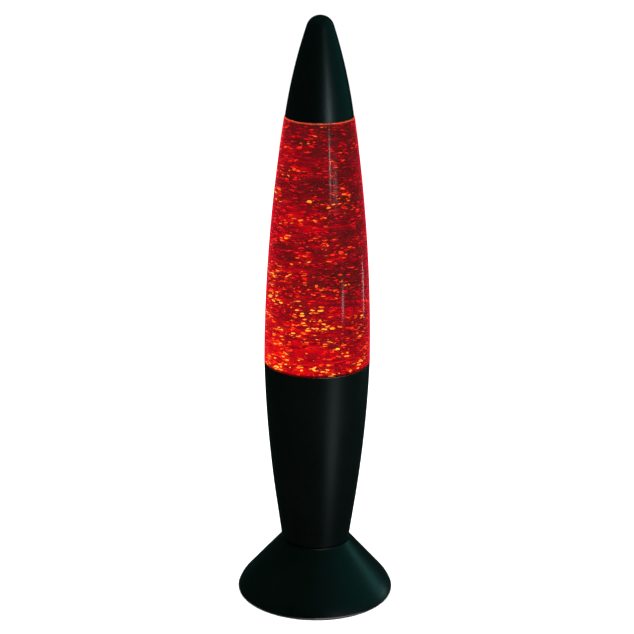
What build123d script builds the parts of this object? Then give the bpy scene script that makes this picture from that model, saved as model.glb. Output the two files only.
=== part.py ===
from build123d import *
import math
import os

# A table glitter lamp: a lift-off cap, a sealed bottle of glitter liquid, and a spun-metal base with a reflector
# bulb inside it. Millimetres, +Z up. The origin is the centre of the footprint, on the surface it stands on.
# The base is a cup and a flare, clamped together at the waist by a hollow threaded nipple that also carries the
# lampholder. The bottle stands on the cup's rim, and the cap stands on a ledge at the top of the bottle.

# --- Driving dimensions -------------------------------------------------------------------------------------------
total_height = 400.0
sheet = 0.8  # spun metal of the cap, cup and flare
edge_round = 0.3  # rounding of the sheet's cut edges
stand_gap = 0.2  # free height where the cap stands on the bottle, and the bottle on the cup
seam = 0.05  # free play between clamped pieces

# Flare: a cone that steepens to its widest ring, then a hem turned in under it
waist_z = 38.7
flare_top_r = 23.7
flare_spread = 0.86  # radius gained for each millimetre down the cone
cone_foot_z = 9.2
flare_ring_r = 53.3
flare_ring_z = 2.0
hem_z = 0.5
hem_bend_r = 52.2
hem_edge_r = 51.2

# Cup: straight from the waist, then curved to a nearly upright rim
cup_foot_r = 23.05
cup_bend_r = 26.95
cup_bend_z = 66.0
cup_rim_r = 35.55
cup_rim_z = 167.3
vent_r = 2.2
vent_circle_r = 17.5
vent_count = 6

# Bottle: a foot that plugs into the cup, one long arc above it, and a crown finish under the cap
glass = 2.3
foot_z = 140.0
punt = 3.0  # rise of the hollow under the bottle
foot_ring_r = 25.5
heel_r = 31.6
heel_z = 145.4
plug_r = 34.15
plug_z = 165.0
body_r = 35.6
body_z = 166.0  # where the long arc stands upright
ledge_r = 22.85
ledge_z = 334.4
ledge_round = 0.6
shoulder_foot_r = 21.0
shoulder_r = 18.3
shoulder_z = 344.0
neck_r = 12.2
neck_z = 349.0
finish_r = 13.2
finish_z = 358.2
mouth_r = 8.2
liquid_top_z = 351.0

# Crown closure
crown_sheet = 0.35
crown_top_r = 12.6
crown_hip_r = 14.2
crown_skirt_r = 15.3
crown_height = 5.6
flute_count = 21
flute_r = 0.8
flute_tip_r = 0.3
flute_height = 4.0

# Cap: a long arc that runs tangent into a spherical nose
cap_rim_r = 22.4
nose_r = 9.2
nose_lean = math.radians(18.0)  # lean of the cap's side where it meets the nose

# Waist stack
nipple_r = 4.95
nipple_bore_r = 4.0
nipple_foot_z = 31.0
nipple_top_z = 44.5
nipple_hole_r = 5.05
washer_r = 9.5
washer_t = 1.0
nut_flats = 14.0
nut_t = 4.0

# Lampholder
holder_r = 13.6
holder_wall = 1.4
dome_flat_r = 8.6
dome_bend_z = 46.0
boss_wall = 2.0
insert_foot_z = 50.5
holder_split_z = 56.0
holder_flange_t = 1.0
holder_top_z = 79.0
holder_lip_t = 1.2
rib_count = 24
rib_r = 0.45
rib_length = 12.0
terminal_x = 4.5
terminal_screw_r = 1.2
terminal_screw_length = 5.8
screw_slot = (0.5, 3.0)  # width and length of a screwdriver slot
sleeve_r = 7.2
sleeve_wall = 0.5
sleeve_top_z = 75.5
spring_t = 0.4
spring_width = 4.0

# Bulb: 39 mm reflector on a 14 mm screw cap
contact_z = 60.0
cap_foot_z = 64.6
bulb_cap_r = 6.2
bulb_cap_wall = 0.5
bulb_cap_height = 17.0
bulb_cap_flare = 1.2  # radius gained over the cap's last stretch
bulb_cap_flare_height = 3.5
bulb_neck_r = 5.3
bulb_r = 19.5
bulb_wide_z = 112.0
bulb_top_z = 125.0
bulb_wall = 0.7
thread_pitch = 2.822
thread_height = 8.5
thread_foot_z = 66.4
bulb_thread_r = 6.35  # centre circle of the bulb's rolled thread
bulb_bead = 0.55
insulator_r = 5.2
insulator_tip_r = 2.6
insulator_plug_r = 3.8
insulator_plug_height = 1.5
solder_tip_r = 2.3
solder_tip_t = 1.3
support_wire_r = 0.3
filament_r = 0.35
sleeve_thread_r = 7.15
sleeve_bead = 0.5

# Underside
cover_r = 50.4
cover_z = 2.4
cover_t = 1.2
cover_slot = (6.0, 3.0)  # length between its round ends' centres, and width
cover_slot_circle_r = 28.0
cover_slot_count = 12
foot_count = 4
foot_pad_r = 5.5
foot_circle_r = 43.0
post_r = 3.2
post_circle_r = 38.0
post_top_z = 26.0
screw_r = 1.45
screw_head_r = 2.8
screw_head_t = 1.5
screw_top_z = 12.0
cross_length = 3.2
cross_width = 0.6
cross_depth = 0.8

# Cable gland in the back of the flare
gland_z = 14.5
gland_bore_r = 3.2
gland_neck_r = 4.85
gland_hole_r = 5.0
gland_flange_r = 6.6
gland_flange_t = 1.6
gland_boot = 4.0

# Wiring inside the base
block_size = (16.0, 12.0, 9.0)
block_y = 20.0
block_pitch = 8.0
block_screw_r = 1.5
block_screw_length = 2.8
lead_r = 0.9

os.makedirs("parts", exist_ok=True)


def save(piece, name):
    """Labels a finished piece and writes it as one STEP."""
    piece.part.label = name
    export_step(piece.part, f"parts/{name}.step")


# --- Shapes that several pieces share -----------------------------------------------------------------------------
body_arc_r = ((ledge_z - body_z) ** 2 + (body_r - ledge_r) ** 2) / (2 * (body_r - ledge_r))
body_mid_z = 250.0
body_top_z = ledge_z - 2.4
plug_top_z = cup_rim_z + stand_gap
cone_inward = sheet * math.sqrt(1 + flare_spread**2)  # the sheet's thickness along a radius


def body_radius(z):
    """Outer radius of the bottle's long arc at a height."""
    return body_r - body_arc_r + math.sqrt(body_arc_r**2 - (z - body_z) ** 2)


def cone_radius(z):
    """Outer radius of the flare's cone at a height."""
    return flare_top_r + flare_spread * (waist_z - z)


def draw_bottle_inside(gap, top_z):
    """Draws the bottle's inside wall from its floor up to top_z in the neck, moved in by a gap."""
    wall = glass + gap
    floor_z = foot_z + wall
    floor_end = (foot_ring_r - 2, floor_z + 0.3)
    heel = (heel_r - wall, heel_z + 1.5)
    step_foot = (plug_r - wall, plug_z - 1)
    step_top = (body_radius(plug_z + 7) - wall, plug_z + 7)
    body_top = (body_radius(body_top_z) - wall, body_top_z)
    neck_foot = (mouth_r - gap, neck_z - gap)
    ThreePointArc((0, floor_z + punt), (foot_ring_r / 2, floor_z + 0.76 * punt), floor_end)
    TangentArc(heel, floor_end, tangent=(heel_r - plug_r, heel_z - plug_z))
    Line(heel, step_foot)
    Line(step_foot, step_top)
    ThreePointArc(step_top, (body_radius(body_mid_z) - wall, body_mid_z), body_top)
    ThreePointArc(body_top, (shoulder_r - wall - 0.6, shoulder_z - wall), neck_foot)
    Line(neck_foot, (mouth_r - gap, top_z))


# --- Cap ----------------------------------------------------------------------------------------------------------
nose_z = total_height - nose_r
nose_edge = (nose_r * math.cos(nose_lean), nose_z + nose_r * math.sin(nose_lean))
side_down = (math.sin(nose_lean), -math.cos(nose_lean))

with BuildPart() as cap_shell:
    with BuildSketch(Plane.XZ):
        with BuildLine():
            CenterArc((0, nose_z), nose_r, math.degrees(nose_lean), 90 - math.degrees(nose_lean))
            TangentArc(nose_edge, (cap_rim_r, ledge_z + stand_gap), tangent=side_down)
            offset(amount=sheet, side=Side.LEFT)
        make_face()
    revolve(axis=Axis.Z)
    fillet(cap_shell.edges().filter_by(GeomType.CIRCLE).sort_by(Axis.Z)[:2], edge_round)
save(cap_shell, "cap_shell")


# --- Bottle, its contents and its closure -------------------------------------------------------------------------
body_foot = (body_radius(plug_top_z + ledge_round), plug_top_z + ledge_round)
body_lip = (body_radius(ledge_z - ledge_round), ledge_z - ledge_round)

with BuildPart() as bottle_glass:
    with BuildSketch(Plane.XZ):
        with BuildLine():
            ThreePointArc((0, foot_z + punt), (foot_ring_r / 2, foot_z + 0.76 * punt), (foot_ring_r - 1, foot_z))
            Line((foot_ring_r - 1, foot_z), (foot_ring_r + 1, foot_z))
            TangentArc((foot_ring_r + 1, foot_z), (heel_r, heel_z), tangent=(1, 0))
            Polyline(
                (heel_r, heel_z),
                (plug_r, plug_z),
                (plug_r, plug_top_z),
                (body_r - ledge_round, plug_top_z),
            )
            TangentArc((body_r - ledge_round, plug_top_z), body_foot, tangent=(1, 0))
            ThreePointArc(body_foot, (body_radius(body_mid_z), body_mid_z), body_lip)
            TangentArc((ledge_r - ledge_round, ledge_z), body_lip, tangent=(1, 0))
            Line((ledge_r - ledge_round, ledge_z), (shoulder_foot_r, ledge_z))
            ThreePointArc((shoulder_foot_r, ledge_z), (shoulder_r, shoulder_z), (neck_r, neck_z))
            Polyline(
                (neck_r, neck_z),
                (neck_r, neck_z + 2.4),
                (finish_r, neck_z + 3.6),
                (finish_r, finish_z - 1.2),
            )
            TangentArc((finish_r, finish_z - 1.2), (finish_r - 1.2, finish_z), tangent=(0, 1))
            Line((finish_r - 1.2, finish_z), (mouth_r, finish_z))
            draw_bottle_inside(0, finish_z)
            Line((0, foot_z + glass + punt), (0, foot_z + punt))
        make_face()
    revolve(axis=Axis.Z)
save(bottle_glass, "bottle_glass")

film = 0.1  # keeps the liquid's solid off the glass

with BuildPart() as glitter_liquid:
    with BuildSketch(Plane.XZ):
        with BuildLine():
            draw_bottle_inside(film, liquid_top_z)
            Polyline(
                (mouth_r - film, liquid_top_z),
                (0, liquid_top_z),
                (0, foot_z + glass + film + punt),
            )
        make_face()
    revolve(axis=Axis.Z)
save(glitter_liquid, "glitter_liquid")

# Flakes hang in the liquid along a golden-angle spiral, each tilted its own way.
flake_count = 96
flake_r = 1.6
flake_t = 0.15
flake_low_z = 150.0
flake_high_z = 326.0
flake_places = []
for i in range(flake_count):
    z = flake_low_z + (flake_high_z - flake_low_z) * (i + 0.5) / flake_count
    reach = body_radius(z) - glass - 3 * flake_r
    spread = reach * math.sqrt((i * 0.618034 + 0.31) % 1.0)
    turn = math.radians(i * 137.508)
    place = (spread * math.cos(turn), spread * math.sin(turn), z)
    tilt = (20 * math.sin(1.7 * i), 20 * math.cos(2.3 * i), math.degrees(turn))
    flake_places.append(Location(place, tilt))

with BuildPart() as flake:
    with BuildSketch():
        RegularPolygon(flake_r, 6)
    extrude(amount=flake_t)

with BuildPart() as glitter_flakes:
    with Locations(*flake_places):
        add(flake.part)
save(glitter_flakes, "glitter_flakes")

crown_z = finish_z + 0.9
crown_top_z = crown_z + crown_sheet
crown_skirt_z = crown_top_z - crown_height
crown_hip_z = crown_z - 1.3
skirt_lean = math.degrees(math.atan2(crown_skirt_r - crown_hip_r, crown_hip_z - crown_skirt_z))

with BuildPart() as crown_closure:
    with BuildSketch(Plane.XZ):
        with BuildLine():
            Line((0, crown_top_z), (crown_top_r, crown_top_z))
            TangentArc((crown_top_r, crown_top_z), (crown_hip_r, crown_hip_z), tangent=(1, 0))
            Line((crown_hip_r, crown_hip_z), (crown_skirt_r, crown_skirt_z))
            offset(amount=crown_sheet, side=Side.RIGHT)
        make_face()
    revolve(axis=Axis.Z)
    with PolarLocations(crown_skirt_r - 0.4, flute_count):
        with Locations(Location((0, 0, crown_skirt_z + 0.2), (0, -skirt_lean, 0))):
            Cone(flute_r, flute_tip_r, flute_height, align=(Align.CENTER, Align.CENTER, Align.MIN))
    with BuildSketch(Plane.XY.offset(crown_skirt_z - 1)):
        Circle(finish_r + 0.3)
    extrude(amount=crown_hip_z - crown_skirt_z + 1, mode=Mode.SUBTRACT)
save(crown_closure, "crown_closure")

with BuildPart() as crown_liner:
    with BuildSketch(Plane.XY.offset(finish_z + seam)):
        Circle(crown_top_r - 0.4)
    extrude(amount=crown_z - finish_z - 2 * seam)
save(crown_liner, "crown_liner")


# --- Cup and flare ------------------------------------------------------------------------------------------------
with BuildPart() as upper_cup:
    with BuildSketch(Plane.XZ):
        with BuildLine():
            FilletPolyline((0, waist_z), (cup_foot_r, waist_z), (cup_bend_r, cup_bend_z), radius=1.0)
            TangentArc(
                (cup_bend_r, cup_bend_z),
                (cup_rim_r, cup_rim_z),
                tangent=(cup_bend_r - cup_foot_r, cup_bend_z - waist_z),
            )
            offset(amount=sheet, side=Side.LEFT)
        make_face()
    revolve(axis=Axis.Z)
    fillet(upper_cup.edges().filter_by(GeomType.CIRCLE).sort_by(Axis.Z)[-2:], edge_round)
    with Locations((0, 0, waist_z)):
        Hole(nipple_hole_r, depth=2 * sheet)
        with PolarLocations(vent_circle_r, vent_count):
            Hole(vent_r, depth=2 * sheet)
save(upper_cup, "upper_cup")

gland_out = Vector(0, 1, flare_spread).normalized()
gland_plane = Plane(origin=(0, cone_radius(gland_z), gland_z), x_dir=(1, 0, 0), z_dir=gland_out)
flare_top_z = waist_z - seam

with BuildPart() as base_flare:
    with BuildSketch(Plane.XZ):
        with BuildLine():
            FilletPolyline(
                (0, flare_top_z),
                (flare_top_r, flare_top_z),
                (cone_radius(cone_foot_z), cone_foot_z),
                radius=1.0,
            )
            TangentArc(
                (cone_radius(cone_foot_z), cone_foot_z),
                (flare_ring_r, flare_ring_z),
                tangent=(flare_spread, -1),
            )
            TangentArc((hem_bend_r, hem_z), (flare_ring_r, flare_ring_z), tangent=(1, 0))
            Line((hem_bend_r, hem_z), (hem_edge_r, hem_z))
            offset(amount=sheet, side=Side.RIGHT)
        make_face()
    revolve(axis=Axis.Z)
    with Locations((0, 0, flare_top_z)):
        Hole(nipple_hole_r, depth=2 * sheet)
        with PolarLocations(vent_circle_r, vent_count):
            Hole(vent_r, depth=2 * sheet)
    with BuildSketch(gland_plane):
        Circle(gland_hole_r)
    extrude(amount=3 * sheet, both=True, mode=Mode.SUBTRACT)
save(base_flare, "base_flare")


# --- Waist stack --------------------------------------------------------------------------------------------------
washer_z = flare_top_z - sheet - seam - washer_t
nut_z = washer_z - seam - nut_t

with BuildPart() as waist_nipple:
    with BuildSketch(Plane.XY.offset(nipple_foot_z)):
        Circle(nipple_r)
        Circle(nipple_bore_r, mode=Mode.SUBTRACT)
    extrude(amount=nipple_top_z - nipple_foot_z)
    chamfer(waist_nipple.edges().filter_by(GeomType.CIRCLE), 0.3)
save(waist_nipple, "waist_nipple")

with BuildPart() as clamp_washer:
    with BuildSketch(Plane.XY.offset(washer_z)):
        Circle(washer_r)
        Circle(nipple_hole_r, mode=Mode.SUBTRACT)
    extrude(amount=washer_t)
save(clamp_washer, "clamp_washer")

with BuildPart() as clamp_nut:
    with BuildSketch(Plane.XY.offset(nut_z)):
        RegularPolygon(nut_flats / 2, 6, major_radius=False)
        Circle(nipple_hole_r, mode=Mode.SUBTRACT)
    extrude(amount=nut_t)
save(clamp_nut, "clamp_nut")


# --- Lampholder ---------------------------------------------------------------------------------------------------
dome_z = waist_z + sheet + seam
flange_z = holder_split_z + seam
skirt_z = flange_z + holder_flange_t + seam
terminal_z = insert_foot_z + 2.2

with BuildPart() as holder_dome:
    with BuildSketch(Plane.XZ):
        with BuildLine():
            Line((0, dome_z), (dome_flat_r, dome_z))
            TangentArc((dome_flat_r, dome_z), (holder_r, dome_bend_z), tangent=(1, 0))
            Line((holder_r, dome_bend_z), (holder_r, holder_split_z))
            offset(amount=holder_wall, side=Side.LEFT)
        make_face()
    revolve(axis=Axis.Z)
    with BuildSketch(Plane.XY.offset(dome_z)):
        Circle(nipple_r + boss_wall)
    extrude(amount=nipple_top_z - dome_z)
    with Locations((0, 0, dome_z)):
        Hole(nipple_hole_r, depth=nipple_top_z - dome_z)
save(holder_dome, "holder_dome")

with BuildPart() as holder_insert:
    with BuildSketch(Plane.XY.offset(insert_foot_z)):
        Circle(holder_r - holder_wall - 0.2)
    extrude(amount=flange_z - insert_foot_z)
    with BuildSketch(Plane.XY.offset(flange_z)):
        Circle(holder_r)
    extrude(amount=holder_flange_t)
    with BuildSketch(Plane.XY.offset(insert_foot_z)):
        with GridLocations(2 * terminal_x, 0, 2, 1):
            Circle(lead_r + 0.3)
    extrude(amount=3.4, mode=Mode.SUBTRACT)
    for side in (1, -1):
        with BuildSketch(Plane.YZ.offset(side * terminal_x)):
            with Locations((0, terminal_z)):
                Circle(terminal_screw_r + 0.1)
        extrude(amount=side * holder_r, mode=Mode.SUBTRACT)
save(holder_insert, "holder_insert")

with BuildPart() as terminal_screw:
    with BuildSketch(Plane.YZ.offset(terminal_x + lead_r + 0.1)):
        with Locations((0, terminal_z)):
            Circle(terminal_screw_r)
    extrude(amount=terminal_screw_length)
    with BuildSketch(Plane.YZ.offset(terminal_x + lead_r + terminal_screw_length - 0.8)):
        with Locations((0, terminal_z)):
            Rectangle(*screw_slot)
    extrude(amount=2, mode=Mode.SUBTRACT)

with BuildPart() as holder_terminal_screws:
    add(terminal_screw.part)
    mirror(about=Plane.YZ)
save(holder_terminal_screws, "holder_terminal_screws")

with BuildPart() as holder_skirt:
    with BuildSketch(Plane.XY.offset(skirt_z)):
        Circle(holder_r)
        Circle(holder_r - holder_wall, mode=Mode.SUBTRACT)
    extrude(amount=holder_top_z - skirt_z)
    with BuildSketch(Plane.XY.offset(holder_top_z - holder_lip_t)):
        Circle(holder_r - 0.5)
        Circle(holder_r - 3, mode=Mode.SUBTRACT)
    extrude(amount=holder_lip_t)
    with BuildSketch(Plane.XY.offset(skirt_z + 5)):
        with PolarLocations(holder_r + 0.1, rib_count):
            Circle(rib_r)
    extrude(amount=rib_length)
    fillet(holder_skirt.edges().filter_by(GeomType.CIRCLE).group_by(Axis.Z)[-1], 0.4)
save(holder_skirt, "holder_skirt")

with BuildPart() as holder_sleeve:
    with BuildSketch(Plane.XY.offset(skirt_z)):
        Circle(holder_r - holder_wall - 1)
        Circle(sleeve_r, mode=Mode.SUBTRACT)
    extrude(amount=sleeve_wall)
    with BuildSketch(Plane.XY.offset(skirt_z)):
        Circle(sleeve_r + sleeve_wall)
        Circle(sleeve_r, mode=Mode.SUBTRACT)
    extrude(amount=sleeve_top_z - skirt_z)
    with BuildLine():
        sleeve_helix = Helix(
            thread_pitch,
            thread_height,
            sleeve_thread_r,
            center=(0, 0, thread_foot_z - thread_pitch / 2),
        )
    with BuildSketch(Plane(origin=sleeve_helix @ 0, z_dir=sleeve_helix % 0)):
        Circle(sleeve_bead)
    sweep(path=sleeve_helix, is_frenet=True)
save(holder_sleeve, "holder_sleeve")

with BuildPart() as centre_contact:
    with BuildSketch(Plane.XZ):
        with BuildLine():
            FilletPolyline(
                (-5.5, skirt_z),
                (-2.5, skirt_z),
                (1.2, contact_z - 1.0),
                (4.2, contact_z - 1.7),
                radius=0.8,
            )
            offset(amount=spring_t, side=Side.LEFT)
        make_face()
    extrude(amount=spring_width / 2, both=True)
save(centre_contact, "holder_centre_contact")


# --- Bulb ---------------------------------------------------------------------------------------------------------
with BuildPart() as bulb_cap:
    with BuildSketch(Plane.XZ):
        with BuildLine():
            FilletPolyline(
                (4.0, cap_foot_z),
                (bulb_cap_r, cap_foot_z),
                (bulb_cap_r, cap_foot_z + bulb_cap_height - bulb_cap_flare_height),
                (bulb_cap_r + bulb_cap_flare, cap_foot_z + bulb_cap_height),
                radius=0.8,
            )
            offset(amount=bulb_cap_wall, side=Side.LEFT)
        make_face()
    revolve(axis=Axis.Z)
    with BuildLine():
        bulb_helix = Helix(thread_pitch, thread_height, bulb_thread_r, center=(0, 0, thread_foot_z))
    with BuildSketch(Plane(origin=bulb_helix @ 0, z_dir=bulb_helix % 0)):
        Circle(bulb_bead)
    sweep(path=bulb_helix, is_frenet=True)
save(bulb_cap, "bulb_cap")

with BuildPart() as bulb_insulator:
    with BuildSketch(Plane.XZ):
        with BuildLine():
            Polyline(
                (0, contact_z + solder_tip_t),
                (insulator_tip_r, contact_z + solder_tip_t),
                (insulator_r, cap_foot_z - seam),
                (insulator_plug_r, cap_foot_z - seam),
                (insulator_plug_r, cap_foot_z + insulator_plug_height),
                (0, cap_foot_z + insulator_plug_height),
                close=True,
            )
        make_face()
    revolve(axis=Axis.Z)
save(bulb_insulator, "bulb_insulator")

with BuildPart() as bulb_contact:
    with BuildSketch(Plane.XY.offset(contact_z)):
        Circle(solder_tip_r)
    extrude(amount=solder_tip_t - seam)
    fillet(bulb_contact.faces().sort_by(Axis.Z)[0].edges(), 0.9)
save(bulb_contact, "bulb_contact")

neck_foot_z = cap_foot_z + 7.5
neck_top_z = cap_foot_z + 17.5
face_edge = (bulb_r - 2.2, bulb_wide_z + 8.3)

with BuildPart() as bulb_glass:
    with BuildSketch(Plane.XZ):
        with BuildLine():
            FilletPolyline(
                (0, neck_foot_z),
                (bulb_neck_r, neck_foot_z),
                (bulb_neck_r, neck_top_z),
                (bulb_r, bulb_wide_z - 4.5),
                (bulb_r, bulb_wide_z + 4),
                radius=[1, 9, 20],
            )
            TangentArc((bulb_r, bulb_wide_z + 4), face_edge, tangent=(0, 1))
            TangentArc((0, bulb_top_z), face_edge, tangent=(1, 0))
            offset(amount=bulb_wall, side=Side.LEFT)
        make_face()
    revolve(axis=Axis.Z)
save(bulb_glass, "bulb_glass")

stem_z = neck_foot_z + bulb_wall + 0.3
stem_top_z = 92.0
filament_z = 96.0
filament_x = 4.5

with BuildPart() as bulb_stem:
    with BuildSketch(Plane.XZ):
        with BuildLine():
            Polyline(
                (0, stem_z),
                (4.0, stem_z),
                (2.2, stem_z + 5),
                (2.2, stem_top_z - 6),
                (0.9, stem_top_z),
                (0, stem_top_z),
                close=True,
            )
        make_face()
    revolve(axis=Axis.Z)
save(bulb_stem, "bulb_stem")

with BuildPart() as support_wire:
    with BuildLine():
        wire_line = FilletPolyline(
            (1.5, 0, stem_top_z - 6.5),
            (1.8, 0, stem_top_z - 1),
            (filament_x, 0, filament_z),
            radius=1.5,
        )
    with BuildSketch(Plane(origin=wire_line @ 0, z_dir=wire_line % 0)):
        Circle(support_wire_r)
    sweep(path=wire_line)

with BuildPart() as bulb_support_wires:
    add(support_wire.part)
    mirror(about=Plane.YZ)
save(bulb_support_wires, "bulb_support_wires")

with BuildPart() as bulb_filament:
    with BuildLine():
        arch = ThreePointArc(
            (-filament_x, 0, filament_z + 0.4),
            (0, 0, filament_z + 3.2),
            (filament_x, 0, filament_z + 0.4),
        )
    with BuildSketch(Plane(origin=arch @ 0, z_dir=arch % 0)):
        Circle(filament_r)
    sweep(path=arch)
save(bulb_filament, "bulb_filament")


# --- Underside ----------------------------------------------------------------------------------------------------
post_z = cover_z + cover_t + seam

with BuildPart() as bottom_cover:
    with BuildSketch(Plane.XY.offset(cover_z)):
        Circle(cover_r)
        with PolarLocations(post_circle_r, foot_count, start_angle=45):
            Circle(screw_r + 0.3, mode=Mode.SUBTRACT)
        with PolarLocations(cover_slot_circle_r, cover_slot_count):
            SlotCenterToCenter(*cover_slot, mode=Mode.SUBTRACT)
    extrude(amount=cover_t)
save(bottom_cover, "bottom_cover")

with BuildPart() as cover_posts:
    with BuildSketch(Plane.XY.offset(post_z)):
        with PolarLocations(post_circle_r, foot_count, start_angle=45):
            Circle(post_r)
            Circle(screw_r + 0.05, mode=Mode.SUBTRACT)
    extrude(amount=post_top_z - post_z)
    with Locations((0, 0, post_z)):
        Cone(
            cone_radius(post_z) - cone_inward - 2 * seam,
            cone_radius(post_top_z) - cone_inward - 2 * seam,
            post_top_z - post_z,
            align=(Align.CENTER, Align.CENTER, Align.MIN),
            mode=Mode.INTERSECT,
        )
save(cover_posts, "cover_posts")

screw_head_z = cover_z - seam - screw_head_t

with BuildPart() as cover_screws:
    with BuildSketch(Plane.XY.offset(screw_head_z)):
        with PolarLocations(post_circle_r, foot_count, start_angle=45):
            Circle(screw_head_r)
    extrude(amount=screw_head_t)
    fillet(cover_screws.faces().group_by(Axis.Z)[0].edges(), 0.6)
    with BuildSketch(Plane.XY.offset(screw_head_z + screw_head_t)):
        with PolarLocations(post_circle_r, foot_count, start_angle=45):
            Circle(screw_r)
    extrude(amount=screw_top_z - screw_head_z - screw_head_t)
    with BuildSketch(Plane.XY.offset(screw_head_z)):
        with PolarLocations(post_circle_r, foot_count, start_angle=45):
            Rectangle(cross_length, cross_width)
            Rectangle(cross_width, cross_length)
    extrude(amount=cross_depth, mode=Mode.SUBTRACT)
save(cover_screws, "cover_screws")

for number in range(foot_count):
    angle = math.radians(360 * number / foot_count)
    with BuildPart() as rubber_foot:
        with BuildSketch():
            with Locations((foot_circle_r * math.cos(angle), foot_circle_r * math.sin(angle))):
                Circle(foot_pad_r)
        extrude(amount=cover_z - seam)
        fillet(rubber_foot.faces().sort_by(Axis.Z)[0].edges(), 0.6)
    save(rubber_foot, f"rubber_foot_{number + 1}")


# --- Cable gland --------------------------------------------------------------------------------------------------
gland_back = sheet + 0.5 + gland_flange_t  # depth of the inner flange's end behind the sheet's outside

with BuildPart() as cable_gland:
    with BuildSketch(gland_plane.offset(-gland_back)):
        Circle(gland_neck_r)
    extrude(amount=gland_back + gland_boot, taper=2)
    with BuildSketch(gland_plane.offset(-gland_back)):
        Circle(gland_flange_r - 0.6)
    extrude(amount=gland_flange_t)
    with BuildSketch(gland_plane.offset(seam)):
        Circle(gland_flange_r)
    extrude(amount=gland_flange_t)
    with BuildSketch(gland_plane.offset(-gland_back)):
        Circle(gland_bore_r)
    extrude(amount=gland_back + gland_boot, mode=Mode.SUBTRACT)
save(cable_gland, "cable_gland")


# --- Wiring inside the base ---------------------------------------------------------------------------------------
block_z = cover_z + cover_t + seam
wire_z = block_z + block_size[2] / 2
block_front_y = block_y - block_size[1] / 2

with BuildPart() as terminal_block:
    with BuildSketch(Plane.XY.offset(block_z)):
        with Locations((0, block_y)):
            RectangleRounded(block_size[0], block_size[1], 1.0)
    extrude(amount=block_size[2])
    with BuildSketch(Plane.XZ.offset(-block_front_y)):
        with Locations((0, wire_z)):
            with GridLocations(block_pitch, 0, 2, 1):
                Circle(lead_r + 0.4)
    extrude(amount=-block_size[1], mode=Mode.SUBTRACT)
    with BuildSketch(Plane.XY.offset(wire_z)):
        with Locations((0, block_y)):
            with GridLocations(block_pitch, 0, 2, 1):
                Circle(block_screw_r + 0.1)
    extrude(amount=block_size[2], mode=Mode.SUBTRACT)
save(terminal_block, "terminal_block")

with BuildPart() as block_screws:
    with BuildSketch(Plane.XY.offset(wire_z + lead_r + 0.1)):
        with Locations((0, block_y)):
            with GridLocations(block_pitch, 0, 2, 1):
                Circle(block_screw_r)
    extrude(amount=block_screw_length)
    with BuildSketch(Plane.XY.offset(wire_z + lead_r + 0.1 + block_screw_length - 0.8)):
        with Locations((0, block_y)):
            with GridLocations(block_pitch, 0, 2, 1):
                Rectangle(3.2, 0.5)
    extrude(amount=1, mode=Mode.SUBTRACT)
save(block_screws, "terminal_block_screws")

for side, name in ((1, "lead_live"), (-1, "lead_neutral")):
    with BuildPart() as lead:
        with BuildLine():
            lead_line = FilletPolyline(
                (side * block_pitch / 2, block_y, wire_z),
                (side * block_pitch / 2, 4.5, wire_z + 0.3),
                (side * 1.9, 0.2, wire_z + 12),
                (side * 1.7, 0, nipple_top_z - 0.5),
                (side * terminal_x, 0, insert_foot_z - 1.2),
                (side * terminal_x, 0, insert_foot_z + 3),
                radius=3.0,
            )
        with BuildSketch(Plane(origin=lead_line @ 0, z_dir=lead_line % 0)):
            Circle(lead_r)
        sweep(path=lead_line)
    save(lead, name)
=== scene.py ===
import math
import random

import bpy
from mathutils import Matrix, Vector


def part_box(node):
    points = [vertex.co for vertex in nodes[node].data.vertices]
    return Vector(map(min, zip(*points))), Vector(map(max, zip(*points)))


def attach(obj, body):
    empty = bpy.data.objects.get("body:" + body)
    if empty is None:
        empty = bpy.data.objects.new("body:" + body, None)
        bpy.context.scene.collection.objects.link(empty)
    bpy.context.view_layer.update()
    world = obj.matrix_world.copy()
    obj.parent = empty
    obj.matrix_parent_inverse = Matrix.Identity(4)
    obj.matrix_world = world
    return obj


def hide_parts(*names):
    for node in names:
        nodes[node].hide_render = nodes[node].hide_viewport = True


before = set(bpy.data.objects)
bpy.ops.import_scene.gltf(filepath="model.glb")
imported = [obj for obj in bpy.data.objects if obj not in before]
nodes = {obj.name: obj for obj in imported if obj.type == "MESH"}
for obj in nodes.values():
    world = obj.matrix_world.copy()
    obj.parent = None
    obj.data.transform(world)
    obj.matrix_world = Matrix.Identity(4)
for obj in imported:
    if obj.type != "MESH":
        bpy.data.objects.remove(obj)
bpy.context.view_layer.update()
MM = 0.001  # in metres


# ---------------------------------------------------------------- measures taken from the frame

def outline(node):
    """Heights and outermost radii of a turned node, from its foot to its top."""
    widest = {}
    for vertex in nodes[node].data.vertices:
        height = round(vertex.co.z, 4)  # to a tenth of a millimetre
        widest[height] = max(widest.get(height, 0.0), math.hypot(vertex.co.x, vertex.co.y))
    return sorted(widest.items())


def radius_at(profile, height):
    """Radius of an outline at one height, on the straight line between its two nearest points."""
    for (low_z, low_r), (high_z, high_r) in zip(profile, profile[1:]):
        if low_z <= height <= high_z:
            return low_r + (high_r - low_r) * (height - low_z) / (high_z - low_z)
    return 0.0


cup_rim_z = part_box("upper_cup")[1].z
cap_rim_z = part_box("cap_shell")[0].z
liquid_low, liquid_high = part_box("glitter_liquid")
glass_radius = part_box("bottle_glass")[1].x  # at its widest
liquid_outline = outline("glitter_liquid")
shown_height = cap_rim_z - cup_rim_z  # of the glass between the two rims


# ---------------------------------------------------------------- shader building blocks

def new_material(name):
    """A material with one Principled shader. Returns the material, its tree and the shader."""
    material = bpy.data.materials.new(name)
    material.use_nodes = True
    tree = material.node_tree
    return material, tree, tree.nodes["Principled BSDF"]


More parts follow.
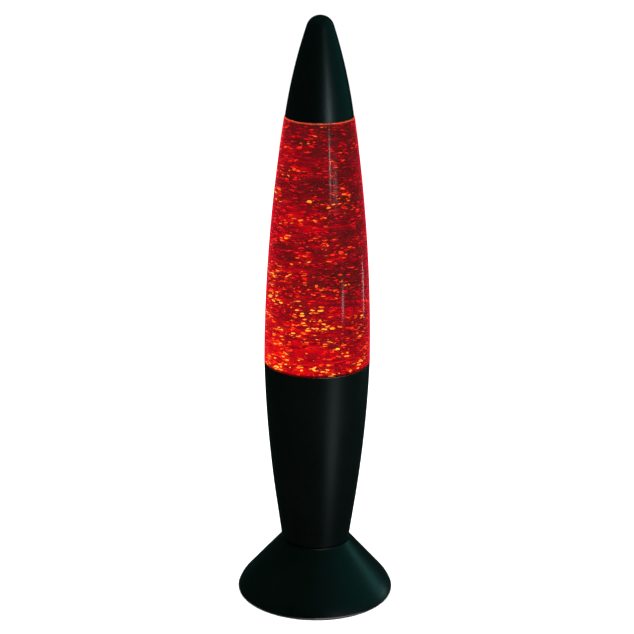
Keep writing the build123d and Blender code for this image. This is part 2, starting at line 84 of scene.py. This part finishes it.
def place(tree, stretch=(1, 1, 1)):
    """The point on the object, in metres, stretched along each axis."""
    coordinates = tree.nodes.new("ShaderNodeTexCoord")
    mapping = tree.nodes.new("ShaderNodeMapping")
    mapping.inputs["Scale"].default_value = stretch
    tree.links.new(coordinates.outputs["Object"], mapping.inputs["Vector"])
    return mapping.outputs["Vector"]


def axes(tree):
    """The point's X, Y and Z on the object, in metres."""
    split = tree.nodes.new("ShaderNodeSeparateXYZ")
    tree.links.new(place(tree), split.inputs[0])
    return split.outputs


def noise(tree, scale, stretch=(1, 1, 1), detail=3.0, roughness=0.5, distortion=0.0):
    """Smooth noise between 0 and 1, with scale grains to the metre."""
    node = tree.nodes.new("ShaderNodeTexNoise")
    node.inputs["Scale"].default_value = scale
    node.inputs["Detail"].default_value = detail
    node.inputs["Roughness"].default_value = roughness
    node.inputs["Distortion"].default_value = distortion
    tree.links.new(place(tree, stretch), node.inputs["Vector"])
    return node.outputs["Fac"]


def ramp(tree, value, stops):
    """A colour for each value, blended between (position, colour) stops."""
    node = tree.nodes.new("ShaderNodeValToRGB")
    elements = node.color_ramp.elements
    while len(elements) < len(stops):
        elements.new(0.5)
    for element, (position, colour) in zip(elements, stops):
        element.position = position
        element.color = (*colour, 1)
    tree.links.new(value, node.inputs["Fac"])
    return node.outputs["Color"]


def between(tree, value, low, high):
    """Value moved from 0 to 1 onto low to high."""
    node = tree.nodes.new("ShaderNodeMapRange")
    node.inputs["To Min"].default_value = low
    node.inputs["To Max"].default_value = high
    tree.links.new(value, node.inputs["Value"])
    return node.outputs["Result"]


def share(tree, value, low, high):
    """Value moved from low to high onto 0 to 1, and on past both ends."""
    node = tree.nodes.new("ShaderNodeMapRange")
    node.clamp = False
    node.inputs["From Min"].default_value = low
    node.inputs["From Max"].default_value = high
    tree.links.new(value, node.inputs["Value"])
    return node.outputs["Result"]


def combine(tree, operation, first, second=0):
    """One math step on one or two values, each a socket or a number."""
    node = tree.nodes.new("ShaderNodeMath")
    node.operation = operation
    for socket, value in zip(node.inputs, (first, second)):
        if isinstance(value, (int, float)):
            socket.default_value = value
        else:
            tree.links.new(value, socket)
    return node.outputs[0]


def weighed(tree, *terms):
    """The sum of some values, each times its own weight."""
    total = 0.0
    for value, weight in terms:
        total = combine(tree, "ADD", combine(tree, "MULTIPLY", value, weight), total)
    return total


def bump(tree, shader, height, depth):
    """Raises the surface by depth metres where height is 1."""
    node = tree.nodes.new("ShaderNodeBump")
    node.inputs["Distance"].default_value = depth
    tree.links.new(height, node.inputs["Height"])
    tree.links.new(node.outputs["Normal"], shader.inputs["Normal"])


def finish(tree, shader, colour=None, roughness=None):
    """Links a colour socket and a roughness socket to the shader."""
    if colour is not None:
        tree.links.new(colour, shader.inputs["Base Color"])
    if roughness is not None:
        tree.links.new(roughness, shader.inputs["Roughness"])


def shine(tree, shader, colour, strength=1.0):
    """Makes the surface give out light of its own."""
    shader.inputs["Emission Strength"].default_value = strength
    tree.links.new(colour, shader.inputs["Emission Color"])


def shaded(name, dark, light, grain, roughness, depth=0.0, stretch=(1, 1, 1), metallic=0.0):
    """A surface whose colour, roughness and relief all follow one noise."""
    material, tree, shader = new_material(name)
    grains = noise(tree, grain, stretch)
    shader.inputs["Metallic"].default_value = metallic
    finish(
        tree,
        shader,
        ramp(tree, grains, [(0.3, dark), (0.7, light)]),
        between(tree, grains, *roughness),
    )
    if depth:
        bump(tree, shader, grains, depth)
    return material


# ---------------------------------------------------------------- painted and bare metal

def black_paint():
    """Satin black on spun metal: faint turning rings under a fine orange peel."""
    material, tree, shader = new_material("black_paint")
    rings = noise(tree, 900, stretch=(0.02, 0.02, 1), detail=4)
    peel = noise(tree, 1500, detail=1)
    cloud = noise(tree, 25)
    finish(
        tree,
        shader,
        ramp(tree, cloud, [(0.3, (0.0004, 0.0015, 0.0012)), (0.7, (0.0008, 0.0024, 0.0020))]),
        between(tree, combine(tree, "MULTIPLY", rings, cloud), 0.3, 0.46),
    )
    shader.inputs["Specular IOR Level"].default_value = 0.35
    bump(tree, shader, combine(tree, "ADD", rings, peel), 0.02 * MM)
    return material


def spun_metal(name, dark, light, roughness):
    """Bare metal with fine turned lines round its axis."""
    return shaded(
        name, dark, light, grain=1200, roughness=roughness,
        depth=0.015 * MM, stretch=(0.03, 0.03, 1), metallic=1.0,
    )


# ---------------------------------------------------------------- bottle, liquid and glitter

floor_margin = 5 * MM  # keeps the centre line that outer_face() measures from above the bottle's floor
# Shares of the shown height, and a place round the bottle, -1 at the left and 1 at the right.
painted_shoulder_glow = 1.2 * MM / shown_height  # reach of the painted orange glow, up and down from the cap's rim
painted_foot_shade = 2.1 * MM / shown_height  # reach of the painted shade, up and down from the cup's rim
bulb_reach = 0.33  # height at which the painted extra light above the bulb is gone
painted_bright_side = -0.5  # where the painted light on the glitter is brightest


def where(tree):
    """Height of a point, 0 at the cup's rim and 1 at the cap's, and how far round to the right, -1 to 1."""
    x, y, z = axes(tree)
    azimuth = combine(tree, "ARCTAN2", x, combine(tree, "MULTIPLY", y, -1))
    return share(tree, z, cup_rim_z, cap_rim_z), combine(tree, "SINE", azimuth)


def outer_face(tree):
    """1 where the bottle's surface faces away from the liquid, and 0 on its inner wall."""
    x, y, z = axes(tree)
    clamp = tree.nodes.new("ShaderNodeClamp")
    clamp.inputs["Min"].default_value = liquid_low.z + floor_margin
    clamp.inputs["Max"].default_value = liquid_high.z
    tree.links.new(z, clamp.inputs["Value"])
    outwards = tree.nodes.new("ShaderNodeCombineXYZ")
    tree.links.new(x, outwards.inputs["X"])
    tree.links.new(y, outwards.inputs["Y"])
    tree.links.new(combine(tree, "SUBTRACT", z, clamp.outputs[0]), outwards.inputs["Z"])
    dot = tree.nodes.new("ShaderNodeVectorMath")
    dot.operation = "DOT_PRODUCT"
    tree.links.new(outwards.outputs[0], dot.inputs[0])
    tree.links.new(tree.nodes.new("ShaderNodeTexCoord").outputs["Normal"], dot.inputs[1])
    back = tree.nodes.new("ShaderNodeNewGeometry").outputs["Backfacing"]
    side = combine(tree, "SUBTRACT", 0.5, back)  # a face met from behind reports its normal turned round
    return combine(tree, "GREATER_THAN", combine(tree, "MULTIPLY", dot.outputs["Value"], side), 0.0)


def see_through(tree, shader, solid_share, tint):
    """Shows the shader where solid_share is 1 and a clear tint where it is 0."""
    clear = tree.nodes.new("ShaderNodeBsdfTransparent")
    clear.inputs["Color"].default_value = (*tint, 1)
    mix = tree.nodes.new("ShaderNodeMixShader")
    tree.links.new(solid_share, mix.inputs["Fac"])
    tree.links.new(clear.outputs[0], mix.inputs[1])
    tree.links.new(shader.outputs[0], mix.inputs[2])
    tree.links.new(mix.outputs[0], tree.nodes["Material Output"].inputs["Surface"])


def bottle_glass():
    """Clear glass full of liquid. Light bends where it enters from the air, and not again at the inner wall.
    A red sheen, lit by the lamps, stands for the bulb's light piped up the wall, so its edges look red, and
    a painted orange glow on the shoulder under the cap stands for that light leaking out.
    Painted shade darkens the glass round the step that stands on the cup's rim, where the rim blocks some of
    the light."""
    material, tree, shader = new_material("bottle_glass")
    shader.inputs["Transmission Weight"].default_value = 1.0
    shader.inputs["IOR"].default_value = 1.4
    # painted sheen: a red sheen, lit by the lamps, stands for the bulb's light piped up the wall to the
    # glass's edges
    shader.inputs["Sheen Weight"].default_value = 0.9
    shader.inputs["Sheen Roughness"].default_value = 0.34
    shader.inputs["Sheen Tint"].default_value = (0.85, 0.004, 0.03, 1)
    height = where(tree)[0]
    # painted shade: the glass's tint goes near black close to the cup's rim
    from_step = combine(tree, "DIVIDE", combine(tree, "ABSOLUTE", height), painted_foot_shade)
    tint = ramp(tree, from_step, [
        (0.1, (0.003, 0.001, 0.001)),
        (0.5, (0.05, 0.01, 0.01)),
        (1.0, (1.0, 0.97, 0.96)),
    ])
    finish(tree, shader, tint, between(tree, noise(tree, 300), 0.10, 0.13))
    # painted light: the glass gives out an orange glow in a band round the cap's rim, standing in for the
    # bulb's light piped up the wall
    above = combine(tree, "DIVIDE", combine(tree, "SUBTRACT", height, 1), painted_shoulder_glow)
    nearness = combine(tree, "SUBTRACT", 1, combine(tree, "ABSOLUTE", above))
    flicker = between(tree, noise(tree, 120), 0.5, 1.2)
    glow = ramp(tree, combine(tree, "MULTIPLY", nearness, flicker), [
        (0.0, (0.0, 0.0, 0.0)),
        (0.4, (0.20, 0.015, 0.004)),
        (1.0, (1.0, 0.19, 0.06)),
    ])
    shine(tree, shader, glow)
    see_through(tree, shader, outer_face(tree), (1, 1, 1))
    return material


def red_liquid():
    """Red liquid, with a smoke of glitter too fine to see one by one, which gives out a painted red glow for
    the bulb's light that it scatters.
    """
    material, tree, shader = new_material("red_liquid")
    smoke = noise(tree, 60, stretch=(1, 1, 3), detail=5, roughness=0.6, distortion=1.5)
    shader.inputs["Base Color"].default_value = (0.1, 0.002, 0.002, 1)
    shader.inputs["Roughness"].default_value = 0.3
    # painted light: the smoke gives out red light in place of the bulb's light that it scatters
    shine(tree, shader, ramp(tree, smoke, [(0.3, (0.03, 0.005, 0.006)), (0.7, (0.45, 0.002, 0.01))]))
    see_through(tree, shader, between(tree, smoke, -0.15, 0.4), (1.0, 0.6, 0.55))
    return material


def painted_bulb_glow(tree, height):
    """Painted extra light just above the bulb, fading to none at bulb_reach."""
    return combine(tree, "MAXIMUM", combine(tree, "SUBTRACT", bulb_reach, height))


def from_bright_side(tree, side):
    """How far round a point is from the side painted brightest, squared so that it grows faster further off.
    """
    distance = combine(tree, "SUBTRACT", side, painted_bright_side)
    return combine(tree, "MULTIPLY", distance, distance)


def glitter_haze():
    """Painted glow of the far glitter, standing in for the bulb's light on it: bright above the bulb,
    brighter towards the left, brown-red higher up, in level streaks.
    """
    material, tree, shader = new_material("glitter_haze")
    height, side = where(tree)
    streaks = noise(tree, 260, stretch=(0.3, 0.3, 2.0), detail=6, roughness=0.7, distortion=0.6)
    clouds = noise(tree, 34, stretch=(0.7, 0.7, 1.7), detail=4, distortion=0.8)
    # painted light: brighter above the bulb and towards the left, darker higher up
    level = weighed(
        tree, (streaks, 0.8), (clouds, 0.5), (height, -0.16), (side, -0.06), (painted_bulb_glow(tree, height), 0.25)
    )
    colour = ramp(tree, level, [
        (0.44, (0.030, 0.011, 0.010)),
        (0.54, (0.085, 0.006, 0.010)),
        (0.64, (0.260, 0.001, 0.010)),
        (0.72, (0.560, 0.001, 0.011)),
        (0.81, (0.850, 0.004, 0.005)),
        (0.94, (1.000, 0.050, 0.003)),
    ])
    shader.inputs["Base Color"].default_value = (0.05, 0.001, 0.001, 1)
    shine(tree, shader, colour)
    return material


def red_glitter():
    """Foil flakes with painted light: most pass on the red glow, and a few, picked by chance, flash with
    painted orange and gold glints.
    """
    material, tree, shader = new_material("red_glitter")
    height, side = where(tree)
    island = tree.nodes.new("ShaderNodeNewGeometry").outputs["Random Per Island"]  # differs for each flake
    drifts = noise(tree, 60, stretch=(0.7, 0.7, 1.5), detail=2)
    grain = noise(tree, 700, detail=1)
    # painted light: each flake's glow and glints, brighter low down, above the bulb and towards the bright
    # side
    level = weighed(
        tree,
        (island, 0.54), (drifts, 0.67), (grain, 0.28),
        (height, -0.12), (from_bright_side(tree, side), -0.065), (painted_bulb_glow(tree, height), 0.08),
    )
    colour = ramp(tree, level, [
        (0.42, (0.050, 0.004, 0.008)),
        (0.56, (0.220, 0.001, 0.012)),
        (0.70, (0.600, 0.002, 0.014)),
        (0.81, (1.000, 0.012, 0.008)),
        (0.88, (1.300, 0.140, 0.006)),
        (0.94, (1.900, 0.600, 0.015)),
        (1.00, (2.400, 1.300, 0.150)),
    ])
    shader.inputs["Base Color"].default_value = (0.1, 0.002, 0.002, 1)
    shine(tree, shader, colour, 1.15)
    return material


# ---------------------------------------------------------------- small parts

def tungsten():
    """Glowing wire, a little cooler in places."""
    material, tree, shader = new_material("tungsten")
    heat = ramp(tree, noise(tree, 400), [(0.3, (1.0, 0.45, 0.12)), (0.7, (1.0, 0.75, 0.4))])
    shine(tree, shader, heat, 6.0)
    return material


def bulb_glass():
    """Frosted bulb, lit from inside and brightest at its crown."""
    material, tree, shader = new_material("bulb_glass")
    shader.inputs["Base Color"].default_value = (0.9, 0.88, 0.84, 1)
    low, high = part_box("bulb_glass")
    glow = ramp(tree, share(tree, axes(tree)["Z"], low.z, high.z), [
        (0.0, (0.03, 0.015, 0.005)),
        (0.6, (0.3, 0.18, 0.08)),
        (0.9, (1.0, 0.72, 0.4)),
    ])
    shine(tree, shader, glow)
    finish(tree, shader, roughness=between(tree, noise(tree, 700), 0.35, 0.55))
    return material


def slot_name(material):
    """A material's name, without the number that Blender adds where the name is taken."""
    return material.name.split(".")[0]


def make_materials():
    """One finish for each material slot of the record, by its name."""
    finishes = [
        black_paint(),
        shaded("cover_black", (0.008,) * 3, (0.014,) * 3, 800, (0.45, 0.6), 0.02 * MM),
        spun_metal("brass", (0.62, 0.40, 0.13), (0.80, 0.56, 0.22), (0.2, 0.35)),
        spun_metal("zinc_steel", (0.48, 0.50, 0.54), (0.66, 0.67, 0.70), (0.25, 0.4)),
        shaded("holder_plastic", (0.012,) * 3, (0.02,) * 3, 900, (0.35, 0.5), 0.01 * MM),
        shaded("porcelain", (0.74, 0.72, 0.68), (0.84, 0.83, 0.80), 300, (0.15, 0.3), 0.01 * MM),
        shaded("black_rubber", (0.01,) * 3, (0.018,) * 3, 1500, (0.7, 0.85), 0.03 * MM),
        shaded("block_plastic", (0.7, 0.69, 0.66), (0.8, 0.79, 0.76), 400, (0.4, 0.55)),
        shaded("brown_silicone", (0.1, 0.035, 0.015), (0.15, 0.05, 0.02), 600, (0.5, 0.65)),
        shaded("blue_silicone", (0.01, 0.06, 0.28), (0.02, 0.09, 0.36), 600, (0.5, 0.65)),
        bottle_glass(),
        red_liquid(),
        red_glitter(),
        spun_metal("crown_tin", (0.58, 0.57, 0.55), (0.74, 0.73, 0.70), (0.22, 0.38)),
        shaded("liner", (0.55, 0.55, 0.52), (0.68, 0.68, 0.64), 500, (0.5, 0.65)),
        bulb_glass(),
        spun_metal("bulb_cap_alloy", (0.6, 0.6, 0.62), (0.78, 0.78, 0.8), (0.2, 0.35)),
        shaded("black_vitrite", (0.005,) * 3, (0.012,) * 3, 500, (0.1, 0.25)),
        shaded("solder", (0.4,) * 3, (0.6,) * 3, 900, (0.3, 0.5), 0.05 * MM, metallic=1.0),
        shaded("stem_glass", (0.6, 0.63, 0.65), (0.7, 0.73, 0.75), 300, (0.05, 0.15)),
        tungsten(),
    ]
    return {slot_name(material): material for material in finishes}


def paint_nodes(materials):
    """Gives every CAD node the finish of its material slot."""
    for node in nodes.values():
        for slot in node.material_slots:
            slot.material = materials[slot_name(slot.material)]


# ---------------------------------------------------------------- glitter pieces

def add_piece(name, vertices, faces, material):
    """A new mesh piece of glitter that rides with the bottle."""
    mesh = bpy.data.meshes.new(name)
    mesh.from_pydata(vertices, [], faces)
    mesh.materials.append(material)
    piece = bpy.data.objects.new(name, mesh)
    bpy.context.scene.collection.objects.link(piece)
    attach(piece, "bottle")
    return piece


haze_share = 0.86  # radius of the haze as a share of the liquid's
haze_rings = 80
haze_segments = 96


def haze():
    """The far glitter, as a turned body inside the liquid, which carries the painted glow of glitter_haze.
    """
    vertices = []
    for ring in range(haze_rings):
        height = liquid_low.z + (liquid_high.z - liquid_low.z) * (ring + 0.5) / haze_rings
        radius = radius_at(liquid_outline, height) * haze_share
        for i in range(haze_segments):
            angle = 2 * math.pi * i / haze_segments
            vertices.append((radius * math.cos(angle), radius * math.sin(angle), height))
    faces = []
    for first in range(0, len(vertices) - haze_segments, haze_segments):
        for i in range(haze_segments):
            here = first + i
            beside = first + (i + 1) % haze_segments
            faces.append((here, beside, beside + haze_segments, here + haze_segments))
    faces.append(tuple(reversed(range(haze_segments))))
    faces.append(tuple(range(len(vertices) - haze_segments, len(vertices))))
    piece = add_piece("glitter_haze", vertices, faces, glitter_haze())
    for face in piece.data.polygons:
        face.use_smooth = True


glitter_seed = 7
flake_count = 9500
flake_sides = 6
smallest_flake = 0.45 * MM  # in radius
largest_flake = 2.0 * MM
flake_thickness = 0.06 * MM
flake_tilt = 12  # usual lean from level, in degrees
flake_margin = 3 * MM  # from the liquid's floor and its surface
flake_gap = 0.1 * MM  # from the glass


def flake(centre, radius, tilt, heading):
    """Corners of one flat plate, tilted from level round its heading: those below, then those above."""
    turn = Matrix.Rotation(heading, 3, "Z") @ Matrix.Rotation(tilt, 3, "X")
    corners = []
    for height in (-flake_thickness / 2, flake_thickness / 2):
        for i in range(flake_sides):
            angle = math.radians(360 / flake_sides * i)
            corner = Vector((radius * math.cos(angle), radius * math.sin(angle), height))
            corners.append(centre + turn @ corner)
    return corners


def flake_faces(first):
    """The faces of a plate whose corners start at number first: below, above, then round the side."""
    under = range(first, first + flake_sides)
    over = range(first + flake_sides, first + 2 * flake_sides)
    faces = [tuple(reversed(under)), tuple(over)]
    for i in range(flake_sides):
        beside = (i + 1) % flake_sides
        faces.append((under[i], under[beside], over[beside], over[i]))
    return faces


def glitter(material):
    """Thousands of plates of foil between the haze and the glass, most of them near level."""
    chance = random.Random(glitter_seed)
    vertices = []
    faces = []
    while len(vertices) < flake_count * 2 * flake_sides:
        height = chance.uniform(liquid_low.z + flake_margin, liquid_high.z - flake_margin)
        wall = radius_at(liquid_outline, height)
        radius = smallest_flake + (largest_flake - smallest_flake) * chance.random() ** 2  # most are small
        reach = chance.uniform(wall * haze_share, wall - radius - flake_gap)
        if chance.random() > wall / glass_radius:  # the narrower the bottle, the fewer the flakes
            continue
        angle = chance.uniform(0, 2 * math.pi)
        centre = Vector((reach * math.cos(angle), reach * math.sin(angle), height))
        tilt = math.radians(chance.gauss(0, flake_tilt))
        faces += flake_faces(len(vertices))
        vertices += flake(centre, radius, tilt, chance.uniform(0, 2 * math.pi))
    piece = add_piece("glitter", vertices, faces, material)
    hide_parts("glitter_flakes")


# ---------------------------------------------------------------- floor, lights and camera

floor_reach = 1.3  # from the lamp's axis to the floor's edges, in metres


def floor():
    """A pale floor, open from below so the lamp's underside can be seen, and kept out of reflections."""
    mesh = bpy.data.meshes.new("floor")
    corners = [(x * floor_reach, y * floor_reach, 0) for x, y in ((-1, -1), (1, -1), (1, 1), (-1, 1))]
    mesh.from_pydata(corners, [], [(0, 1, 2, 3)])
    piece = bpy.data.objects.new("floor", mesh)
    bpy.context.scene.collection.objects.link(piece)
    material, tree, shader = new_material("floor")
    finish(tree, shader, ramp(tree, noise(tree, 3), [(0.3, (0.88,) * 3), (0.7, (0.92,) * 3)]))
    shader.inputs["Roughness"].default_value = 0.9
    facing = tree.nodes.new("ShaderNodeNewGeometry")
    see_through(tree, shader, combine(tree, "SUBTRACT", 1.0, facing.outputs["Backfacing"]), (1, 1, 1))
    mesh.materials.append(material)
    piece.visible_glossy = False
    piece.visible_transmission = False
    piece.visible_shadow = False


def soft_light(name, width, length, power, colour, centre, turn, shown_in):
    """A flat light that the camera doesn't see. Where shown_in lists nodes, it lights them alone."""
    light = bpy.data.lights.new(name, "AREA")
    light.shape = "RECTANGLE"
    light.size = width
    light.size_y = length
    light.energy = power
    light.color = colour
    lamp = bpy.data.objects.new(name, light)
    lamp.location = centre
    lamp.rotation_euler = turn
    lamp.visible_camera = False
    bpy.context.scene.collection.objects.link(lamp)
    if shown_in:
        receivers = bpy.data.collections.new(name + "_shown_in")
        for node in shown_in:
            receivers.objects.link(nodes[node])
        lamp.light_linking.receiver_collection = receivers
    return lamp


def softbox(name, azimuth, distance, low, high, width, power, colour=(1, 1, 1), shown_in=()):
    """An upright light at an azimuth in degrees, from the front round to the right."""
    angle = math.radians(azimuth)
    centre = (distance * math.sin(angle), -distance * math.cos(angle), (low + high) / 2)
    soft_light(name, width, high - low, power, colour, centre, (math.radians(90), 0, angle), shown_in)


def ceiling(name, centre, size, power, mirrored=False, shown_in=()):
    """A square light that shines straight down, or up from below the floor."""
    turn = (math.pi, 0, 0) if centre[2] < 0 else (0, 0, 0)
    lamp = soft_light(name, size, size, power, (1, 1, 1), centre, turn, shown_in)
    lamp.visible_glossy = mirrored


def studio():
    """White to the camera and dim to everything else, so the black paint has something dark to mirror."""
    world = bpy.data.worlds.new("studio")
    bpy.context.scene.world = world
    world.use_nodes = True
    tree = world.node_tree
    dim = tree.nodes["Background"]
    dim.inputs["Color"].default_value = (0.45, 1.0, 0.9, 1)
    dim.inputs["Strength"].default_value = 0.022
    white = tree.nodes.new("ShaderNodeBackground")
    white.inputs["Color"].default_value = (1, 1, 1, 1)
    white.inputs["Strength"].default_value = 1.05
    path = tree.nodes.new("ShaderNodeLightPath")
    mix = tree.nodes.new("ShaderNodeMixShader")
    tree.links.new(path.outputs["Is Camera Ray"], mix.inputs["Fac"])
    tree.links.new(dim.outputs[0], mix.inputs[1])
    tree.links.new(white.outputs[0], mix.inputs[2])
    tree.links.new(mix.outputs[0], tree.nodes["World Output"].inputs["Surface"])


painted = ("cap_shell", "upper_cup", "base_flare")
rubber_feet = [node for node in nodes if node.startswith("rubber_foot")]
underneath = ["base_flare", "bottom_cover", "cover_screws", "cable_gland"] + rubber_feet
small_parts = [node for node in nodes if node not in painted + ("bottle_glass", "glitter_liquid")]
cool_white = (0.75, 1.0, 1.0)
teal = (0.1, 1.0, 0.95)


def lights():
    """Softboxes to the right give the long upright highlights, and dim blue-green panels the sheen beside
    them. A glint mirrored in the cup alone stands for the light that a polished table would throw up.
    Each softbox has its azimuth, its distance, foot, top and width in metres, and its power in watts."""
    softbox("key", 31, 1.0, 0.36, 0.47, 0.16, 0.47, cool_white, ("cap_shell",))
    softbox("key_cup", 31, 1.0, 0.36, 0.47, 0.16, 0.2, cool_white, ("upper_cup",))
    softbox("key_low", 34, 1.0, 0.32, 0.42, 0.22, 0.55, cool_white, ("cap_shell",))
    softbox("key_top", 31, 1.0, 0.47, 0.85, 0.14, 0.09, cool_white, ("cap_shell",))
    softbox("key_streak", 30, 1.0, 0.25, 0.37, 0.02, 0.13)
    softbox("key_foot", 43, 1.0, 0.22, 0.29, 0.2, 0.07)
    softbox("side_edge", 119, 0.7, 0.01, 0.08, 0.04, 0.03)
    softbox("side_near", 56, 0.7, 0.04, 0.08, 0.06, 0.04)
    softbox("rim", 119, 1.0, -0.1, 0.5, 0.08, 0.38, (0.3, 1.0, 0.95), ("upper_cup", "base_flare"))
    softbox("fill", 95, 1.6, 0.0, 2.4, 2.6, 4.0, teal, painted)
    softbox("fill_front", 35, 1.6, 0.0, 2.4, 1.4, 1.0, teal, painted)
    softbox("back", 180, 1.0, -0.3, 0.6, 0.15, 0.5, cool_white, painted)
    softbox("table_glint", 39, 0.5, -0.26, 0.0, 0.2, 0.17, cool_white, ("upper_cup",))
    ceiling("overhead", (0, 0, 3.0), 3.0, 260.0)
    ceiling("lip_glint", (0.5, -0.5, 1.3), 0.9, 40.0, mirrored=True, shown_in=("upper_cup",))
    ceiling("under", (0.3, -0.3, -1.0), 1.0, 12.0, mirrored=True, shown_in=underneath)
    ceiling("sparkle", (0.6, -0.8, 1.6), 1.2, 20.0, mirrored=True, shown_in=small_parts)


camera_place = (0, -1.2254, 0.6073)  # in metres
camera_turn = 0.016  # degrees to the left of straight on
camera_drop = 18.476  # degrees below level
camera_roll = 0.553  # degrees
camera_lens = 109.94  # in mm, on a 36 mm sensor


def camera():
    """Front view from a little above, with the slight roll of a hand-levelled camera."""
    data = bpy.data.cameras.new("camera")
    data.sensor_width = 36.0
    data.lens = camera_lens
    view = bpy.data.objects.new("camera", data)
    bpy.context.scene.collection.objects.link(view)
    view.matrix_world = (
        Matrix.Translation(camera_place)
        @ Matrix.Rotation(math.radians(camera_turn), 4, "Z")
        @ Matrix.Rotation(math.radians(90 - camera_drop), 4, "X")
        @ Matrix.Rotation(math.radians(camera_roll), 4, "Z")
    )
    bpy.context.scene.camera = view


materials = make_materials()
paint_nodes(materials)
haze()
glitter(materials["red_glitter"])
floor()
studio()
lights()
camera()
bpy.context.scene.view_settings.view_transform = "Standard"
